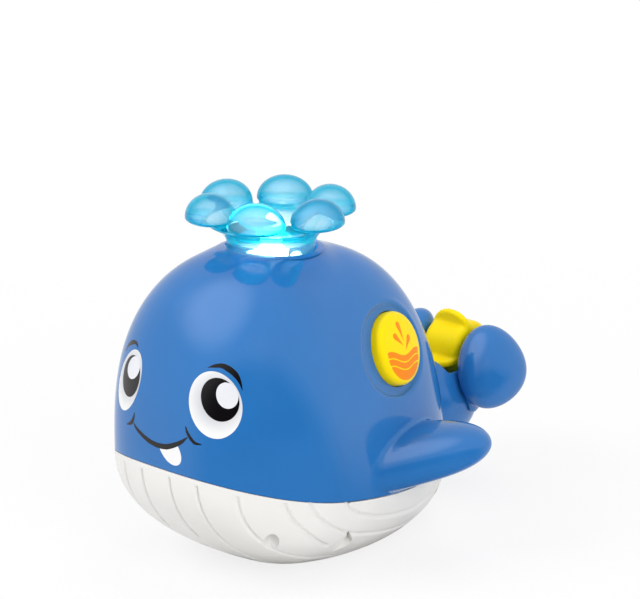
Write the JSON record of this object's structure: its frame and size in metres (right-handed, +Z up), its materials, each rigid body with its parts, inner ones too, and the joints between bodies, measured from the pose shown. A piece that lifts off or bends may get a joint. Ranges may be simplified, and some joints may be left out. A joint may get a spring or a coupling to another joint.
{
  "type": "whale bath toy",
  "caption": "Floating whale bath toy: domed hull with side fins, lobed clear spout lit from inside, push button, paddle wheel between tail flukes, inner battery pump.",
  "frame": {"origin": "middle of the underside of the overall box, level with the flat base", "axes": "+Z up, nose towards -Y, tail towards +Y, the whale's left side towards +X"},
  "size_m": [0.149, 0.1962, 0.1432],
  "materials": {
    "blue_plastic": "smooth satin gloss moulding",
    "white_plastic": "smooth satin gloss moulding",
    "yellow_plastic": "smooth gloss moulding",
    "aqua_plastic": "clear tinted moulding",
    "seal_rubber": "matte",
    "steel": "zinc plated",
    "cell_jacket": "satin jacket",
    "motor_can": "plated can",
    "grey_plastic": "matte moulding",
    "board": "solder mask",
    "black_plastic": "matte",
    "lamp_lens": "clear lens",
    "clear_hose": "soft clear tube"
  },
  "bodies": {
    "hull": {"upper_shell": "blue_plastic", "tail_stock": "blue_plastic", "fluke_left": "blue_plastic", "fluke_right": "blue_plastic", "belly_shell": "white_plastic", "battery_door": "white_plastic", "spout_nozzle": "white_plastic", "spout": "aqua_plastic", "shell_gasket": "seal_rubber", "battery_door_gasket": "seal_rubber", "button_seal": "seal_rubber", "spout_seal": "seal_rubber", "shell_screw_1": "steel", "shell_screw_2": "steel", "shell_screw_3": "steel", "shell_screw_4": "steel", "battery_door_screw_1": "steel", "battery_door_screw_2": "steel", "carrier_screw_1": "steel", "carrier_screw_2": "steel", "carrier_screw_3": "steel", "pump_screw_1": "steel", "pump_screw_2": "steel", "tail_screw": "steel", "button_spring": "steel", "contact_front_pair": "steel", "contact_front_single": "steel", "contact_rear_single": "steel", "contact_rear_pair": "steel", "wheel_axle": "steel", "battery_1": "cell_jacket", "battery_2": "cell_jacket", "battery_3": "cell_jacket", "pump_motor": "motor_can", "battery_box": "grey_plastic", "button_retainer": "grey_plastic", "lamp_carrier": "grey_plastic", "pump_housing": "grey_plastic", "pump_cover": "grey_plastic", "motor_bracket": "grey_plastic", "tail_retainer": "grey_plastic", "circuit_board": "board", "lamp_board": "board", "micro_switch": "black_plastic", "lamp_lead": "black_plastic", "switch_lead": "black_plastic", "motor_lead": "black_plastic", "lamp_1": "lamp_lens", "lamp_2": "lamp_lens", "lamp_3": "lamp_lens", "intake_hose": "clear_hose", "outlet_hose": "clear_hose"},
    "button": {"button_cap": "yellow_plastic"},
    "water_wheel": {"water_wheel": "yellow_plastic"},
    "pump_rotor": {"impeller": "white_plastic", "motor_shaft": "steel"}
  },
  "joints": [
    {"name": "button_press", "type": "slide", "parent": "hull", "child": "button", "axis": [-0.9351, -0.1767, -0.3071], "range_m": [0, 0.0022], "stiffness_N_per_m": 600, "springref_m": -0.002, "deforming": ["button_spring"]},
    {"name": "wheel_spin", "type": "hinge", "parent": "hull", "child": "water_wheel", "pos_m": [0, 0.08092, 0.0549], "axis": [1, 0, 0], "continuous": true},
    {"name": "pump_spin", "type": "hinge", "parent": "hull", "child": "pump_rotor", "pos_m": [0, 0.01472, 0.0279], "axis": [0, 0, 1], "continuous": true}
  ]
}
